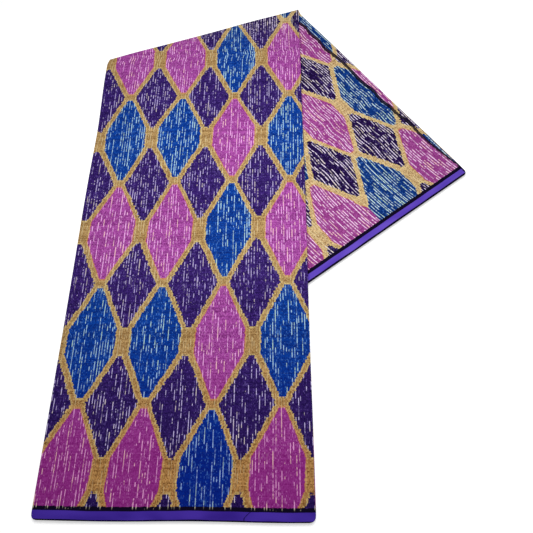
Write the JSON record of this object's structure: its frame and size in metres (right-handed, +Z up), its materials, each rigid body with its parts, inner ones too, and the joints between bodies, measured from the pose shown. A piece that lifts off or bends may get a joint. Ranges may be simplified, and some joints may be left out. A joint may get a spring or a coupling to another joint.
{
  "type": "folded kente cloth",
  "caption": "Printed cotton cloth folded back and forth into a flat strip, with its far end turned under on a slant so that it shows as a flap.",
  "frame": {"origin": "on the surface below the middle of the folded cloth's box", "axes": "+Y along the strip towards the turned-under end, +X across it towards the flap, +Z up"},
  "size_m": [0.5274, 0.7424, 0.0116],
  "materials": {
    "printed_cotton": "matte printed cotton"
  },
  "bodies": {
    "root": {"folded_cloth": "printed_cotton"}
  },
  "joints": []
}
